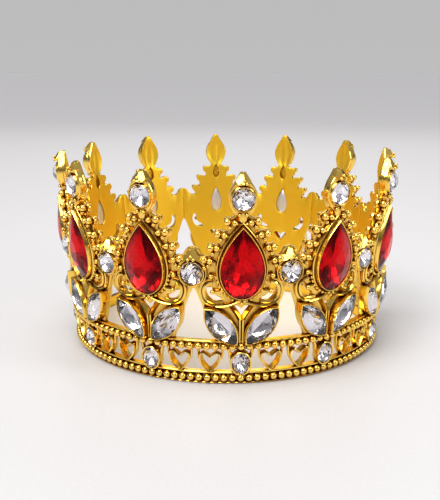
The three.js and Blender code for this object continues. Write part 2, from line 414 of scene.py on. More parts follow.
def lathe(profile, segments):
    """A closed profile of (w, v) points turned once round the crown's axis."""
    points = []
    for i in range(segments):
        a = 2 * math.pi * i / segments
        for w, v in profile:
            radius = inner_radius(v) + w
            points.append(Vector((radius * math.sin(a), -radius * math.cos(a), v)) * MM)
    return points, wrapped_faces(segments, len(profile))


def hull(points):
    """The flat-sided body that just holds the points."""
    body = bmesh.new()
    for point in points:
        body.verts.new(point)
    bmesh.ops.convex_hull(body, input=body.verts)
    bmesh.ops.delete(body, geom=[v for v in body.verts if not v.link_faces], context="VERTS")
    bmesh.ops.dissolve_limit(body, angle_limit=math.radians(1), verts=body.verts, edges=body.edges)
    body.verts.index_update()
    corners = [vertex.co.copy() for vertex in body.verts]
    faces = [tuple(v.index for v in face.verts) for face in body.faces]
    body.free()
    return corners, faces


def cut_stone(outline, levels, frame_at):
    """A faceted stone: the hull of rings of corners, given as (x scale, y scale, w, corners, turn)."""
    outline_at = along_outline(outline)
    points = []
    for x_scale, y_scale, w, count, turn in levels:
        for i in range(count):
            x, y = outline_at((i + turn) / count)
            points.append((x * x_scale, y * y_scale, w))
    corners, faces = hull(points)
    girdle = min(w for x_scale, _, w, *_ in levels if x_scale == 1)
    middles = [sum(corners[i].z for i in face) / len(face) for face in faces]
    return settle(corners, frame_at), faces, [middle < girdle - 0.02 for middle in middles]


def along_outline(outline):
    """A function of t from 0 to 1 that runs once round a closed outline at an even pace."""
    lengths = [0]
    for a, b in zip(outline, outline[1:] + outline[:1]):
        lengths.append(lengths[-1] + math.dist(a, b))

    def point(t):
        goal = (t % 1) * lengths[-1]
        i = max(k for k in range(len(outline)) if lengths[k] <= goal + 1e-9)
        a, b = Vector(outline[i]), Vector(outline[(i + 1) % len(outline)])
        return a.lerp(b, (goal - lengths[i]) / max(lengths[i + 1] - lengths[i], 1e-9))

    return point


# ---- node trees ----


def node(tree, kind, links=None, **settings):
    """Adds a node with its settings. A link is an input's name or number to a socket or a plain value."""
    made = tree.nodes.new(kind)
    for name, value in settings.items():
        setattr(made, name, value)
    for name, value in (links or {}).items():
        socket = made.inputs[name]
        if isinstance(value, bpy.types.NodeSocket):
            tree.links.new(value, socket)
        else:
            socket.default_value = value
    return made


def maths(tree, operation, *values):
    return node(tree, "ShaderNodeMath", dict(enumerate(values)), operation=operation).outputs[0]


SOCKETS = {int: "NodeSocketInt", float: "NodeSocketFloat", type(None): "NodeSocketMaterial"}


def geometry_tree(name, inputs):
    """An empty Geometry Nodes tree, with a named input for each default value; None is a material."""
    tree = bpy.data.node_groups.new(name, "GeometryNodeTree")
    tree.interface.new_socket("Geometry", in_out="OUTPUT", socket_type="NodeSocketGeometry")
    tree.interface.new_socket("Geometry", in_out="INPUT", socket_type="NodeSocketGeometry")
    for label, default in inputs.items():
        socket = tree.interface.new_socket(label, in_out="INPUT", socket_type=SOCKETS[type(default)])
        if default is not None:
            socket.default_value = default
    return tree, tree.nodes.new("NodeGroupInput").outputs


def finish_tree(tree, instances, material, back_material=None):
    """Ends a tree in Realize Instances and Set Material, with another material for the backs of stones."""
    solid = node(tree, "GeometryNodeRealizeInstances", {"Geometry": instances})
    painted = node(tree, "GeometryNodeSetMaterial", {"Geometry": solid.outputs[0], "Material": material})
    if back_material:
        behind = node(tree, "GeometryNodeInputNamedAttribute", {"Name": "stone_back"}, data_type="BOOLEAN")
        links = {"Geometry": painted.outputs[0], "Selection": behind.outputs["Attribute"]}
        painted = node(tree, "GeometryNodeSetMaterial", {**links, "Material": back_material})
    node(tree, "NodeGroupOutput", {"Geometry": painted.outputs[0]})
    return tree


def put_on(tree, points, instance, **links):
    links = {"Points": points, "Instance": instance, **links}
    return node(tree, "GeometryNodeInstanceOnPoints", links).outputs[0]


def smooth_ball(tree, radius, smoothness):
    ball = node(tree, "GeometryNodeMeshIcoSphere", {"Radius": radius, "Subdivisions": smoothness})
    return node(tree, "GeometryNodeSetShadeSmooth", {"Geometry": ball.outputs["Mesh"]}).outputs[0]


def ring_tree():
    """Copies a panel's piece round the crown's axis."""
    inputs = {"Copies": PANELS, "Material": None, "Back Material": None}
    tree, given = geometry_tree("Copies Round The Ring", inputs)
    points = node(tree, "GeometryNodePoints", {"Count": given["Copies"]})
    index = node(tree, "GeometryNodeInputIndex")
    share = maths(tree, "DIVIDE", index.outputs[0], given["Copies"])
    turn = maths(tree, "MULTIPLY", share, 2 * math.pi)
    rotation = node(tree, "ShaderNodeCombineXYZ", {"Z": turn})
    copies = put_on(tree, points.outputs[0], given["Geometry"], Rotation=rotation.outputs[0])
    return finish_tree(tree, copies, given["Material"], given["Back Material"])


def balls_tree():
    """Puts a ball of its own size on every point of a panel."""
    tree, given = geometry_tree("Balls On Points", {"Smoothness": 2, "Material": None})
    ball = smooth_ball(tree, 1.0, given["Smoothness"])
    size = node(tree, "GeometryNodeInputNamedAttribute", {"Name": "ball_radius"}, data_type="FLOAT")
    balls = put_on(tree, given["Geometry"], ball, Scale=size.outputs["Attribute"])
    return finish_tree(tree, balls, given["Material"])


def bead_row_tree():
    """A closed row of beads round the crown."""
    sizes = {"Beads": 132, "Row Radius": 0.053, "Height": 0.002, "Bead Radius": 0.0011}
    tree, given = geometry_tree("Bead Row", {**sizes, "Material": None})
    row = node(tree, "GeometryNodeMeshCircle", {"Vertices": given["Beads"], "Radius": given["Row Radius"]})
    lift = node(tree, "ShaderNodeCombineXYZ", {"Z": given["Height"]})
    raised = node(tree, "GeometryNodeSetPosition", {"Geometry": row.outputs[0], "Offset": lift.outputs[0]})
    bead = smooth_ball(tree, given["Bead Radius"], 2)
    return finish_tree(tree, put_on(tree, raised.outputs[0], bead), given["Material"])


def apply_tree(piece, tree, values):
    """Runs a tree on a piece with the given named inputs, and keeps the plain mesh that comes out."""
    modifier = piece.modifiers.new(tree.name, "NODES")
    modifier.node_group = tree
    sockets = {item.name: item.identifier for item in tree.interface.items_tree if item.in_out == "INPUT"}
    for name, value in values.items():
        modifier[sockets[name]] = value
    evaluated = piece.evaluated_get(bpy.context.evaluated_depsgraph_get())
    mesh = bpy.data.meshes.new_from_object(evaluated)
    piece.modifiers.clear()
    piece.data = mesh
    mesh.name = piece.name


def new_object(name, data):
    made = bpy.data.objects.new(name, data)
    bpy.context.scene.collection.objects.link(made)
    return made


def finish_piece(piece, slot, *replaced):
    """Fastens a finished piece to the crown's one body."""
    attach(piece, "root")
    if replaced:
        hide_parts(*replaced)


def named_nodes(*kinds):
    """Every node of the given kinds, such as all twelve panels."""
    return [name for name in NODES if name.rsplit("_", 1)[0] in kinds]


def tree_named(name, make):
    return bpy.data.node_groups.get(name) or make()


def copy_round(piece, material, back_material=None):
    values = {"Copies": PANELS, "Material": material, "Back Material": back_material or material}
    apply_tree(piece, tree_named("Copies Round The Ring", ring_tree), values)


def ring_piece(name, work, material, slot, replaced=(), crease=CREASE, back_material=None):
    """Makes a piece of the whole crown from one panel's metalwork or stones."""
    piece = new_object(name, work.mesh(name, crease))
    copy_round(piece, material, back_material)
    finish_piece(piece, slot, *replaced)


# ---- materials ----


def linear(colour):
    """An sRGB hex value such as "#F0B030", as linear red, green, blue and alpha."""
    channels = [int(colour[i : i + 2], 16) / 255 for i in (1, 3, 5)]
    return (*(c / 12.92 if c <= 0.04045 else ((c + 0.055) / 1.055) ** 2.4 for c in channels), 1)


def new_material(name, **values):
    """A material with one Principled shader, its plain values set and its tree returned."""
    made = bpy.data.materials.new(name)
    made.use_nodes = True
    tree = made.node_tree
    shader = tree.nodes["Principled BSDF"]
    for socket, value in values.items():
        shader.inputs[socket.replace("_", " ")].default_value = value
    return made, tree, shader


def material_named(name, make, *details):
    return bpy.data.materials.get(name) or make(name, *details)


def soft_noise(tree, scale, detail):
    """Noise through the object's own space."""
    spot = node(tree, "ShaderNodeTexCoord").outputs["Object"]
    noise = node(tree, "ShaderNodeTexNoise", {"Vector": spot, "Scale": scale, "Detail": detail})
    return noise.outputs["Fac"]


def make_uneven(tree, shader, scale, detail, strength, depth):
    """Lets the surface rise and fall by about the depth, in mm."""
    height = soft_noise(tree, scale, detail)
    bump = node(tree, "ShaderNodeBump", {"Strength": strength, "Distance": depth * MM, "Height": height})
    tree.links.new(bump.outputs[0], shader.inputs["Normal"])


def mixed(tree, factor, first, second):
    """A colour between two others, each given as a hex value or a socket."""
    first, second = (linear(shade) if isinstance(shade, str) else shade for shade in (first, second))
    return node(tree, "ShaderNodeMix", {"Factor": factor, 6: first, 7: second}, data_type="RGBA").outputs[2]


def risen(tree, value, none_at, all_at):
    """A share that grows from 0 to 1 between two values."""
    ends = {"Value": value, "From Min": none_at, "From Max": all_at}
    return node(tree, "ShaderNodeMapRange", ends).outputs[0]


def plated_casting(name):
    """Zinc alloy, die-cast, tumbled and plated with a thin flash of bright yellow gold.

    The eye sees a hard mirror on the outside, softened by the casting's slight waviness. Recesses that the
    tumbling didn't reach stay rougher, and their darker orange-brown colour is painted shade from ambient
    occlusion. The inside is left satin.
    """
    made, tree, shader = new_material(name, Metallic=1.0)
    spot = node(tree, "ShaderNodeTexCoord").outputs["Object"]
    surface = node(tree, "ShaderNodeNewGeometry")
    radial = node(tree, "ShaderNodeVectorMath", {0: spot, 1: (1, 1, 0)}, operation="MULTIPLY")
    outward = node(tree, "ShaderNodeVectorMath", {0: radial.outputs[0]}, operation="NORMALIZE")
    both = {0: surface.outputs["True Normal"], 1: outward.outputs[0]}
    facing = node(tree, "ShaderNodeVectorMath", both, operation="DOT_PRODUCT")
    inside = risen(tree, facing.outputs["Value"], -0.55, -0.85)
    # painted shade from ambient occlusion: crevices get a darker orange-brown colour, and are also made
    # rougher
    recess_shade_and_dullness = node(tree, "ShaderNodeAmbientOcclusion", {"Distance": 2.0 * MM}, samples=6)
    depth = risen(tree, recess_shade_and_dullness.outputs["AO"], 0.9, 0.25)

    drift = soft_noise(tree, 260.0, 3.0)
    bright = mixed(tree, drift, "#FFDC74", "#FFCF58")
    satin = mixed(tree, drift, "#FFDC48", "#FFD036")
    # the colour in crevices is painted shade, mixed towards dark orange-brown #8C4C06
    colour = mixed(tree, depth, mixed(tree, inside, bright, satin), "#8C4C06")
    tree.links.new(colour, shader.inputs["Base Color"])

    polish = maths(tree, "MULTIPLY_ADD", inside, 0.3, 0.1)
    worn = maths(tree, "MULTIPLY_ADD", drift, 0.08, polish)
    rough = maths(tree, "MULTIPLY_ADD", depth, 0.12, worn)
    tree.links.new(rough, shader.inputs["Roughness"])
    make_uneven(tree, shader, 420.0, 2.0, 0.25, 0.12)
    return made


def gold_plate():
    return material_named("bright_gold_plated_casting", plated_casting)


def cut_glass(name, colour, sheen):
    """Pressed and fire-polished glass: flat clear facets, with almost no roughness."""
    clear = {"Roughness": 0.01, "IOR": 1.56, "Transmission_Weight": 1.0, "Specular_Tint": linear(sheen)}
    made, tree, shader = new_material(name, Base_Color=linear(colour), **clear)
    make_uneven(tree, shader, 300.0, 1.0, 0.04, 0.05)
    return made


def clear_glass():
    """Clear lead-free crystal glass."""
    return material_named("clear_crystal_glass", cut_glass, "#FCFAFC", "#FFFFFF")


def red_glass():
    """Glass coloured right through with selenium red, so that even its sheen looks warm."""
    return material_named("selenium_red_glass", cut_glass, "#E80C14", "#A05058")


def fired_foil(name, colour, roughness):
    """The mirror that is fired on to a stone's back facets: bright silver under a thin lacquer."""
    made, tree, shader = new_material(name, Metallic=1.0, Roughness=roughness, Base_Color=linear(colour))
    make_uneven(tree, shader, 700.0, 2.0, 0.06, 0.05)
    return made


def mirror_foil():
    """Bare bright silver, behind the clear stones."""
    return material_named("fired_mirror_foil", fired_foil, "#F2F0F2", 0.08)


def satin_foil():
    """A duller foil behind the red stones, which spreads the light over each facet."""
    return material_named("fired_satin_foil", fired_foil, "#F6E6E4", 0.2)


def stamped_foil(name):
    """The silver foil on a stone's back, as seen through the hole in the plate behind it."""
    made, tree, shader = new_material(name, Metallic=0.85, Roughness=0.36, Base_Color=linear("#E8EAF0"))
    make_uneven(tree, shader, 500.0, 2.0, 0.4, 0.1)
    return made


def silver_foil():
    return material_named("silver_foil_back", stamped_foil)


class Maker:
    """What the operators share: each of them makes its pieces in the current scene."""

    def execute(self, context):
        self.make(context.scene)
        return {"FINISHED"}


# ---- castings ----


def gold_piece(name, work, *replaced, crease=CREASE):
    ring_piece(name, work, gold_plate(), "gold_plate", named_nodes(*replaced), crease)


PRONGS = [
    # the balls on the right-hand side of a panel: the outer one, the inner one and the small one below
    ((4.55, 51.5), (2.35, 51.2), (3.85, 49.8)),
    ((7.4, 47.8), (5.35, 47.5), (6.5, 46.1)),
    ((9.5, 43.6), (7.6, 43.6), (8.8, 41.8)),
    ((11.4, 40.0), (9.6, 39.6), (10.1, 38.1)),
]
PRONG_BALLS = [(2.75, 1.0), (3.0, 0.84), (2.7, 0.6)]  # their w, and their sizes beside the outer one's
# (u, v, w, radius) of the balls beside the pear's lower half, and of those on the neck and the last prong
LOW_BALLS = [(9.3, 34.9, 2.7, 0.8), (8.8, 30.0, 2.7, 0.76)]
LOOSE_BALLS = [(1.0, 53.6, 3.3, 0.6), (11.2, 37.4, 2.6, 0.75)]
TREFOIL = [(-0.75, 27.3), (0.75, 27.3), (0, 26.4)]  # three balls under the pear's foot
GABLE_BALLS = [(-0.8, 4.25), (0.8, 4.25), (0, 5.2)]  # three at a gable's foot, from the stone's centre
# the grains in a row round a pear's lower half: how many, how far outside the stone, w and radius
GRAINS = 17
GRAIN_OFFSET = 1.5
GRAIN_W = 2.1
GRAIN_RADIUS = 0.56

CURL = [
    (9.0, 33.5), (10.7, 32.9), (11.8, 31.5), (12.0, 29.7), (11.4, 27.9), (10.0, 26.6), (8.1, 26.0),
    (5.7, 26.3),
]
ROPE = [(0.3, 27.2), (1.9, 26.5), (3.7, 25.8), (5.7, 25.4), (7.8, 25.3)]  # the thin wire under the curl
ARM = [(0.3, 21.0), (1.4, 23.0), (3.4, 25.9)]  # from the navettes' stem out to the curl
STEM = [(0.45, 13.4), (0.45, 18.0), (0.5, 21.4)]  # between the two navettes

BUMP_RADIUS = 1.35  # the plate's round edge behind each outer ball
SLOT = [(9.8, 32.3), (10.0, 30.6), (9.5, 29.0), (8.2, 27.8), (6.4, 27.4)]  # along the curl's inner side
WINDOW = (2.4, 3.6, 6.4)  # behind the pear stone: half width, and how far it reaches down and up
HOLLOW = (1.35, 2.1, 3.4)  # the blind hollow in the back of the neck, in the same way
HOLLOW_FLOOR = (1.8, 2.6, 4.0)
HOLLOW_V = 50.0
RELIEF_V = 58.4  # the pressed hollows in the back of each point
RELIEF_HALF_WIDTH = 3.7
RELIEF_HALF_HEIGHT = 6.0
RELIEF_DEPTH = 0.62
CREASE_WIDTH = 0.55


def plate_outline():
    """One panel's plate, from the tip down the right-hand side and back up the left."""
    dome = smoothed([
        (0, HEIGHT), (0.9, 65.5), (1.9, 63.9), (3.3, 61.7), (4.15, 59.3), (4.1, 57.4), (3.3, 55.4),
        (2.45, 53.9), (2.3, 53.2),
    ])
    bumps = []
    for ((u, v), *_), ((_, next_v), *_) in zip(PRONGS, PRONGS[1:]):
        bumps += arc(u, v - 0.1, BUMP_RADIUS, 125, -80, 9) + [(u, next_v + 0.7)]
    leaf = [(10.2, 41.0), (11.6, 40.8), (12.3, 41.5), (12.9, 42.6), (13.8, 43.4), (half_pitch(43.7), 43.7)]
    arch = smoothed([(half_pitch(31), 31), (13.8, 29.2), (12.9, 27.0), (11.9, 24.6), (10.4, 20.4)])
    foot = [(9.2, 17.2), (8.0, 14.2), (7.6, 11.2)]
    right = dome + bumps + leaf + arch + foot
    return list(reversed(right + mirrored(right[1:])))


def plate_holes():
    """The see-through shapes in one panel's plate, and the blind hollow."""
    slot = ribbon(smoothed(SLOT), [0.6, 0.95, 0.95, 0.9, 0.5])
    small_heart = doubled([(0, 24.3), (0.9, 25.2), (2.2, 25.5), (2.8, 24.9), (1.6, 23.4), (0, 21.9)])
    window = raised(drop(*WINDOW, 8), PEAR_V)
    return [slot, mirrored(slot), small_heart, window, raised(drop(*HOLLOW, 8), HOLLOW_V)]


def back_relief(u, v, w):
    """The back of each point is pressed in, in two hollows with a crease between them."""
    if w > PLATE / 2:
        return 0
    across = u / RELIEF_HALF_WIDTH
    up = (v - RELIEF_V) / RELIEF_HALF_HEIGHT
    fall = max(0, 1 - across**2 - up**2)
    ridge = math.exp(-((u / CREASE_WIDTH) ** 2)) * 0.6
    return RELIEF_DEPTH * min(fall * 1.6, 1) * (1 - ridge)


class CROWN_OT_plates(Maker, bpy.types.Operator):
    """Make the openwork plates that everything else on a panel is cast on"""

    bl_idname = "crown.plates"
    bl_label = "Openwork plates"

    def make(self, scene):
        work = Metalwork()
        # the cuts lie closer together at the crease and the hollows
        across = [1.6 * i for i in range(-8, 9)] + [-2.4, -0.8, -0.4, 0.4, 0.8, 2.4]
        upwards = [6.0 * i for i in range(2, 9)] + [51.5 + 1.1 * i for i in range(13)]
        work.add(*slab(plate_outline(), plate_holes(), 0, PLATE, 0.22, (across, upwards), back_relief))
        hollow_floor = raised(drop(*HOLLOW_FLOOR, 8), HOLLOW_V)
        work.add(*slab(hollow_floor, [], PLATE - 0.25, PLATE + 0.1, 0.05))
        gold_piece("openwork_plates", work, "panel")


LOWER_RAIL = [
    # (w, v): a flat foot, a trough for the beads and a lip over them
    (0, 0.12), (0.12, 0), (2.45, 0), (2.6, 0.15), (2.6, 0.35), (2.45, 0.5), (1.4, 0.7), (1.1, 0.9),
    (1.1, 3.0), (1.4, 3.2), (2.1, 3.3), (2.3, 3.4), (2.3, 3.7), (2.15, 3.85), (0.12, 3.85), (0, 3.73),
]
UPPER_RAIL = [
    (0, 11.1), (0.12, 11.0), (1.0, 11.0), (1.1, 11.2), (1.1, 13.4), (2.0, 13.5), (2.15, 13.6),
    (2.15, 13.95), (2.0, 14.1), (0.12, 14.1), (0, 13.98),
]
RAIL_STEPS = 14  # straight steps of the rails for each panel


class CROWN_OT_rails(Maker, bpy.types.Operator):
    """Make the two rails and the rows of beads on them"""

    bl_idname = "crown.rails"
    bl_label = "Beaded rails"

    def make(self, scene):
        castings = scene.crown_castings
        rails = Metalwork()
        for profile in (LOWER_RAIL, UPPER_RAIL):
            rails.add(*lathe(profile, PANELS * RAIL_STEPS))
        piece = new_object("rails", rails.mesh("rails"))
        piece.data.materials.append(gold_plate())
        finish_piece(piece, "gold_plate")

        rows = {"lower_beads": castings.lower_bead_v, "upper_beads": castings.upper_bead_v}
        for name, height in rows.items():
            beads = new_object(name, bpy.data.meshes.new(name))
            values = {
                "Beads": PANELS * castings.beads_per_panel,
                "Row Radius": (inner_radius(height / MM) + BEAD_W) * MM,
                "Height": height,
                "Bead Radius": castings.bead_radius,
                "Material": gold_plate(),
            }
            apply_tree(beads, tree_named("Bead Row", bead_row_tree), values)
            finish_piece(beads, "gold_plate")


def cup_section(outer, rim, thickness=0.34):
    """A cup's wall: up the outside, over a thin rounded rim and down inside the stone."""
    outside = [(outer, 0.7), (outer - 0.05, rim - 0.75), (thickness + 0.04, rim - 0.35)]
    edge = [(thickness - 0.02, rim - 0.1), (thickness - 0.14, rim), (0.1, rim - 0.04)]
    return outside + edge + [(0.0, rim - 0.2), (-0.3, rim - 0.9), (-0.3, 0.7)]


def pear_cup_section(rim):
    """The pear's cup has a second, lower rim round the first, with a groove between them."""
    lower_rim = [(1.2, 0.7), (1.2, rim - 1.6), (1.1, rim - 1.4), (0.92, rim - 1.3), (0.74, rim - 1.4)]
    groove = [(0.6, rim - 1.75), (0.4, rim - 1.5)]
    edge = [(0.34, rim - 0.2), (0.24, rim), (0.1, rim - 0.02)]
    return lower_rim + groove + edge + [(0.0, rim - 0.2), (-0.3, rim - 0.9), (-0.3, 0.7)]


def stone_kinds(stones):
    """Each kind of stone on one panel: its outline, the seats that it sits in and its cup's section."""
    seam = oval(stones.seam_radius / MM, stones.seam_radius / MM)
    small = oval(stones.oval_half_width / MM, stones.oval_half_height / MM)
    boat = navette(stones.navette_length / MM, stones.navette_width / MM)
    pair = [seat(side * NAVETTE_U, NAVETTE_V, -side * stones.navette_lean) for side in (-1, 1)]
    return {
        "pear": (drop(*PEAR), [seat(0, PEAR_V, 0, PEAR_LEAN)], pear_cup_section(PEAR_RIM)),
        "crest": (oval(CREST_RADIUS, CREST_RADIUS), [seat(0, CREST_V)], cup_section(0.65, CREST_RIM)),
        "seam": (seam, [seat(half_pitch(SEAM_V), SEAM_V)], cup_section(0.7, SEAM_RIM)),
        "band": (small, [seat(0, OVAL_V)], cup_section(0.65, OVAL_RIM, 0.5)),
        "navette": (boat, pair, cup_section(0.55, NAVETTE_RIM)),
    }


class CROWN_OT_bezels(Maker, bpy.types.Operator):
    """Make the cups that hold the stones"""

    bl_idname = "crown.bezels"
    bl_label = "Cups"

    def make(self, scene):
        cups = Metalwork()
        for outline, places, section in stone_kinds(scene.crown_stones).values():
            for place in places:
                cups.add(*band(outline, section, place))
        gold_piece("stone_cups", cups)


GABLE = [
    # the block on top of a round stone, right-hand half: u, height over the stone's centre, w
    (0, 4.3, 4.5), (1.5, 4.2, 4.0), (2.2, 5.1, 3.1), (1.9, 4.1, 3.0), (0, 6.9, 2.7),
    (0.85, 7.1, 2.0), (0.75, 7.64, 1.0), (2.15, 5.2, 0.8), (1.9, 4.0, 0.8),
]
GABLE_TOP = 7.66  # over the stone's centre, with a hair to spare
SHOULDER = [
    # the block beside the gable over a seam stone, from its front edges back to the plate
    (1.6, 3.9, 3.9), (4.3, 3.2, 3.4), (4.7, 4.3, 2.2), (2.2, 5.3, 2.6),
    (1.8, 3.7, 0.8), (4.4, 3.0, 0.8), (4.8, 4.3, 0.8), (2.2, 5.4, 0.8),
]
NECK = [
    # the wedge under a crest stone, right-hand half
    (1.4, -4.6, 2.6), (1.0, -6.6, 2.9), (0, -7.6, 3.0), (0, -4.4, 3.2), (2.2, -5.0, 0.9), (1.9, -7.4, 0.9),
]
# the right-hand edges of the thick heads behind the crest and seam stones, from each stone's centre
CREST_HEAD = [
    (0, 6.8), (1.4, 5.6), (2.6, 4.3), (3.9, 2.0), (4.25, -0.3), (3.6, -2.7), (2.3, -4.6), (0, -5.2),
]
SEAM_HEAD = [(0, 7.3), (1.6, 6.0), (3.3, 4.2), (4.3, 1.6), (4.3, -1.0), (3.0, -3.4), (0, -4.6)]
WELL_ROOM = 0.2  # round a stone, in the head's hole


def block(points, centre_v, on_seam=False, side=1, stretch=1.0):
    """A flat-sided block; its points are (u, v, w) from a stone's centre."""
    places = []
    for u, v, w in points:
        up = centre_v + v * stretch
        middle = half_pitch(up) if on_seam else 0
        places.append(on_wall(middle + side * u, up, w))
    return hull(places)


def both_halves(points):
    return points + [(-u, v, w) for u, v, w in points]


def head(edge, stone_radius, bottom, top, bevel, frame_at):
    """A thick plate behind a round stone, with a hole for it."""
    well = oval(stone_radius + WELL_ROOM, stone_radius + WELL_ROOM)
    return slab(doubled(smoothed(edge)[::-1]), [well], bottom, top, bevel, frame_at=frame_at)


class CROWN_OT_heads(Maker, bpy.types.Operator):
    """Make the thick heads behind the crest stones and the seam stones, with the gables on top"""

    bl_idname = "crown.heads"
    bl_label = "Heads and gables"

    def make(self, scene):
        heads = Metalwork()
        heads.add(*head(CREST_HEAD, CREST_RADIUS, 0.9, 2.8, 0.4, seat(0, CREST_V)))
        heads.add(*block(both_halves(GABLE), CREST_V, stretch=(HEIGHT - CREST_V) / GABLE_TOP))
        heads.add(*block(both_halves(NECK), CREST_V))

        radius = scene.crown_stones.seam_radius / MM
        heads.add(*head(SEAM_HEAD, radius, 0.1, 2.6, 0.35, seat(half_pitch(SEAM_V), SEAM_V)))
        heads.add(*block(both_halves(GABLE), SEAM_V, on_seam=True))
        for side in (-1, 1):
            heads.add(*block(SHOULDER, SEAM_V, on_seam=True, side=side))
        gold_piece("heads_and_gables", heads, crease=22)


HEART_V = 7.0
HEART_SECTION = [
    # (offset from the outline, w): a rounded face on a thinner back
    (0, 0.4), (0, 2.3), (-0.12, 2.6), (-0.32, 2.7), (-0.5, 2.58), (-0.68, 2.0), (-1.05, 0.9),
    (-1.1, 0.4),
]
LUG_U = 3.5  # the lugs from a heart's middle, where they join its lobes to the upper rail
LUG_W = 1.3


class CROWN_OT_hearts(Maker, bpy.types.Operator):
    """Make the open hearts between the rails"""

    bl_idname = "crown.hearts"
    bl_label = "Open hearts"

    def make(self, scene):
        hearts = Metalwork()
        for side in (-1, 1):
            centre = side * half_pitch(HEART_V) * 2 / 3
            outline = [(x + centre, y + HEART_V) for x, y in heart()]
            hearts.add(*band(outline, HEART_SECTION))
            for lug in (-LUG_U, LUG_U):
                u = centre + lug
                stem = [(u - lug * 0.02, 8.0), (u + lug * 0.05, 9.4), (u + lug * 0.1, 11.4)]
                hearts.add(*wire(stem, 0.45, LUG_W, flatten=1.6))
        for side in (-1, 1):
            stem = on_side(side, [(3.2, 8.4), (3.35, 9.8), (3.9, 11.4)])
            hearts.add(*wire(stem, 0.6, LUG_W, flatten=1.5))
        gold_piece("open_hearts", hearts)


def right_hand_wires(radius):
    """The wires on the right-hand side of one panel: path, radius, w, sides, flattening and taper."""
    curl = smoothed(CURL, 5)
    wires = [
        (shifted_path(curl, 0.55), radius, 2.1, 8, 1.3),
        (shifted_path(curl, -0.5), radius * 0.85, 1.9, 8, 1.3),
        (curl, 0.9, 1.2, 8, 0.9),
        (smoothed(ROPE), 0.42, 2.2, 8, 1.6),
        (ARM, 0.85, 1.5, 4, 1.5),
        (STEM, 0.48, 1.7, 6, 1.8),
    ]
    for (u, v), (inner_u, inner_v), _ in PRONGS:
        reach = [(inner_u - 1.6, inner_v - 0.8), (inner_u, inner_v), (u, v)]
        wires.append((reach, 0.5, 1.8, 8, 1.5, (1.2, 1.0, 0.8)))
    for u, v, *_ in LOW_BALLS:
        wires.append(([(u - 3, v + 0.3), (u, v)], 0.55, 1.9, 8, 1.0, (1.2, 0.85)))
    return wires


class CROWN_OT_filigree(Maker, bpy.types.Operator):
    """Make the curls, prongs and ridges that stand on the plates"""

    bl_idname = "crown.filigree"
    bl_label = "Curls and prongs"

    def make(self, scene):
        work = Metalwork()
        for side in (-1, 1):
            for path, *form in right_hand_wires(scene.crown_castings.curl_radius / MM):
                work.add(*wire(on_side(side, path), *form))
        gold_piece("curls_and_prongs", work)


def grains():
    ring = sorted(point for point in grown(drop(*PEAR), GRAIN_OFFSET) if point[1] < -2.5)
    place = along_outline(ring + ring[-2:0:-1])
    row = [place(i / (GRAINS - 1) / 2) for i in range(GRAINS)]
    return [(x, PEAR_V + y, GRAIN_W, GRAIN_RADIUS) for x, y in row]


def balls(ball):
    """Every ball on one panel, as (u, v, w, radius), where ball is the radius of the outer ones."""
    found = []
    for side in (-1, 1):
        for places in PRONGS:
            for (u, v), (w, share) in zip(places, PRONG_BALLS):
                found.append((side * u, v, w, ball * share))
        for u, v, w, radius in LOW_BALLS + LOOSE_BALLS:
            found.append((side * u, v, w, radius))
    found += grains()
    found += [(u, v, 2.8, 0.6) for u, v in TREFOIL]
    for centre_u, centre_v in ((0, CREST_V), (half_pitch(SEAM_V + 4), SEAM_V)):
        found += [(centre_u + u, centre_v + v, 4.1, 0.52) for u, v in GABLE_BALLS]
    return found


class CROWN_OT_balls(Maker, bpy.types.Operator):
    """Make the balls on the prongs and the grains round the pear stones"""

    bl_idname = "crown.balls"
    bl_label = "Balls and grains"

    def make(self, scene):
        spots = balls(scene.crown_castings.prong_ball / MM)
        mesh = bpy.data.meshes.new("balls_and_grains")
        mesh.from_pydata([on_wall(u, v, w) for u, v, w, _ in spots], [], [])
        sizes = mesh.attributes.new("ball_radius", "FLOAT", "POINT")
        sizes.data.foreach_set("value", [radius * MM for *_, radius in spots])
        piece = new_object("balls_and_grains", mesh)
        values = {"Smoothness": 2, "Material": gold_plate()}
        apply_tree(piece, tree_named("Balls On Points", balls_tree), values)
        copy_round(piece, gold_plate())
        finish_piece(piece, "gold_plate")


# ---- stones ----


def brilliant(rim, rise, table=0.45, corners=8, keel=0.0, foot=PLATE + 0.06):
    """Levels of a cut stone whose table is the given share of its width, and rises over the girdle."""
    girdle = rim - GIRDLE_DROP
    depth = girdle - foot
    kites = 0.5 + table * 0.56
    return [
        (0.02, keel + 0.02, foot, 8, 0.0),  # the point or keel at the back
        (0.52, 0.52 + keel / 2, girdle - depth * 0.55, corners, 0.5),
        (1.0, 1.0, girdle - 0.12, corners * 2, 0.0),
        (1.0, 1.0, girdle + 0.1, corners * 2, 0.0),
        (kites, kites, girdle + rise * 0.6, corners, 0.5),
        (table, table, girdle + rise, corners, 0.0),
    ]


def stone_piece(name, kind, levels, look, *replaced):
    """Makes one kind of stone for the whole crown, in its glass and with foil on its back facets."""
    outline, places, _ = kind
    glass, foil, slot = look
    work = Metalwork()
    for place in places:
        work.add(*cut_stone(outline, levels, place))
    ring_piece(name, work, glass, slot, named_nodes(*replaced), 1, foil)


class CROWN_OT_stones(Maker, bpy.types.Operator):
    """Make the faceted glass stones"""

    bl_idname = "crown.stones"
    bl_label = "Glass stones"

    def make(self, scene):
        kinds = stone_kinds(scene.crown_stones)
        red = (red_glass(), satin_foil(), "ruby_glass")
        clear = (clear_glass(), mirror_foil(), "clear_glass")
        pear_cut = brilliant(PEAR_RIM, 2.0, 0.36, foot=0.6)
        stone_piece("pear_stones", kinds["pear"], pear_cut, red, "pear_stone")
        stone_piece("crest_stones", kinds["crest"], brilliant(CREST_RIM, 1.7), clear, "crest_stone")
        boat_cut = brilliant(NAVETTE_RIM, 1.5, 0.3, 6, 0.5)
        pair = ("left_navette_stone", "right_navette_stone")
        stone_piece("navette_stones", kinds["navette"], boat_cut, clear, *pair)
        stone_piece("seam_stones", kinds["seam"], brilliant(SEAM_RIM, 1.6), clear)
        stone_piece("band_stones", kinds["band"], brilliant(OVAL_RIM, 1.3, foot=1.0), clear)


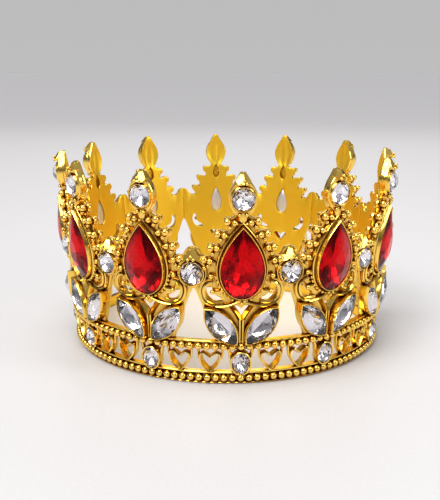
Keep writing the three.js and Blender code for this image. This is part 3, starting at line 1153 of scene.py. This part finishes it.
FOIL_DOME = [(1.0, 1.0), (0.92, 0.6), (0.65, 0.3), (0.25, 0.15)]  # (size, w), from its edge to its top


class CROWN_OT_foils(Maker, bpy.types.Operator):
    """Make the foil that shows through the window behind each pear stone"""

    bl_idname = "crown.foils"
    bl_label = "Foil backs"

    def make(self, scene):
        foil = Metalwork()
        levels = [(size, size, w, 32, 0) for size, w in FOIL_DOME]
        foil.add(*cut_stone(drop(3.0, 4.2, 7.0), levels, seat(0, PEAR_V)))
        ring_piece("foil_backs", foil, silver_foil(), "clear_glass", (), 60)


# ---- the studio ----

LIT_POINT = (0, 0, 0.03)  # what the lamps point at, in metres
# (height, shade) of the room: pale at the horizon, dark over it and paler overhead
ROOM = [(0.0, "#BFBEBE"), (0.1, "#BCBCBE"), (0.24, "#48484D"), (0.45, "#88888E"), (0.8, "#A6A6AC")]


def area_light(name, place, size, power):
    light = bpy.data.lights.new(name, "AREA")
    light.shape = "RECTANGLE"
    light.size, light.size_y = size
    light.energy = power
    lamp = new_object(name, light)
    lamp.location = place
    lamp.rotation_euler = (Vector(LIT_POINT) - Vector(place)).to_track_quat("-Z", "Y").to_euler()


def even_light():
    """A broad light with soft shadows, from high in front on the left."""
    light = bpy.data.lights.new("even_light", "SUN")
    light.energy = 2.3
    light.angle = math.radians(50)
    lamp = new_object("even_light", light)
    lamp.rotation_euler = (math.radians(28), 0, math.radians(-35))


def pale_laminate():
    """Matt laminate, very pale and slightly warm, with a faint speckle."""
    made, tree, shader = new_material("pale_laminate", Roughness=0.5)
    colour = mixed(tree, soft_noise(tree, 900.0, 2.0), "#C8C6C5", "#D0CECD")
    tree.links.new(colour, shader.inputs["Base Color"])
    return made


def floor():
    """A round floor, a hair under the crown's foot."""
    shell = bmesh.new()
    bmesh.ops.create_circle(shell, cap_ends=True, segments=96, radius=6)
    mesh = bpy.data.meshes.new("floor")
    shell.to_mesh(mesh)
    shell.free()
    mesh.materials.append(pale_laminate())
    made = new_object("floor", mesh)
    made.location.z = -0.02 * MM


def surroundings():
    """A plain grey room, which the gold and the stones reflect."""
    world = bpy.data.worlds.new("studio")
    world.use_nodes = True
    tree = world.node_tree
    direction = node(tree, "ShaderNodeTexCoord").outputs["Generated"]
    height = node(tree, "ShaderNodeSeparateXYZ", {"Vector": direction})
    ramp = node(tree, "ShaderNodeValToRGB", {"Fac": height.outputs["Z"]})
    steps = ramp.color_ramp.elements
    while len(steps) < len(ROOM):
        steps.new(0.5)
    for step, (start, shade) in zip(steps, ROOM):
        step.position = start
        step.color = linear(shade)
    tree.links.new(ramp.outputs["Color"], tree.nodes["Background"].inputs["Color"])
    return world


def camera():
    view = bpy.data.cameras.new("camera")
    view.lens = 56.1
    view.sensor_width = 36
    view.clip_start = 0.01
    holder = new_object("camera", view)
    holder.location = (-0.02259, -0.2759, 0.09666)
    holder.rotation_euler = [math.radians(a) for a in (76.29, 0, -4.19)]
    return holder


class CROWN_OT_stage(Maker, bpy.types.Operator):
    """Set up the floor, the lights and the camera"""

    bl_idname = "crown.stage"
    bl_label = "Studio"

    def make(self, scene):
        floor()
        area_light("key_light", (-0.35, -0.45, 0.6), (0.25, 0.25), 1.9)
        area_light("fill_light", (0.6, -0.35, 0.35), (0.2, 0.4), 1.3)
        area_light("top_light", (0.0, 0.0, 0.8), (0.5, 0.3), 1.7)
        area_light("back_light", (0.1, 0.7, 0.45), (0.7, 0.25), 1.0)
        even_light()
        scene.world = surroundings()
        scene.camera = camera()
        scene.view_settings.view_transform = "Standard"


OPERATORS = (
    CROWN_OT_plates, CROWN_OT_rails, CROWN_OT_bezels, CROWN_OT_heads, CROWN_OT_hearts, CROWN_OT_filigree,
    CROWN_OT_balls, CROWN_OT_stones, CROWN_OT_foils, CROWN_OT_stage,
)


class CROWN_PT_panel(bpy.types.Panel):
    """Lists the crown's sizes and the operators that make its pieces"""

    bl_idname = "CROWN_PT_panel"
    bl_label = "Costume crown"
    bl_space_type = "VIEW_3D"
    bl_region_type = "UI"
    bl_category = "Crown"

    def draw(self, context):
        scene = context.scene
        for settings in (scene.crown_stones, scene.crown_castings):
            column = self.layout.column()
            for name in settings.__annotations__:
                column.prop(settings, name)
        for operator in OPERATORS:
            self.layout.operator(operator.bl_idname)


CLASSES = (CrownStoneSettings, CrownCastingSettings, *OPERATORS, CROWN_PT_panel)


def register():
    for item in CLASSES:
        bpy.utils.register_class(item)
    bpy.types.Scene.crown_stones = bpy.props.PointerProperty(type=CrownStoneSettings)
    bpy.types.Scene.crown_castings = bpy.props.PointerProperty(type=CrownCastingSettings)


def unregister():
    del bpy.types.Scene.crown_castings
    del bpy.types.Scene.crown_stones
    for item in reversed(CLASSES):
        bpy.utils.unregister_class(item)


def main():
    """Registers the add-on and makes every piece."""
    register()
    for operator in OPERATORS:
        group, name = operator.bl_idname.split(".")
        getattr(getattr(bpy.ops, group), name)()


if __name__ == "__main__":
    main()
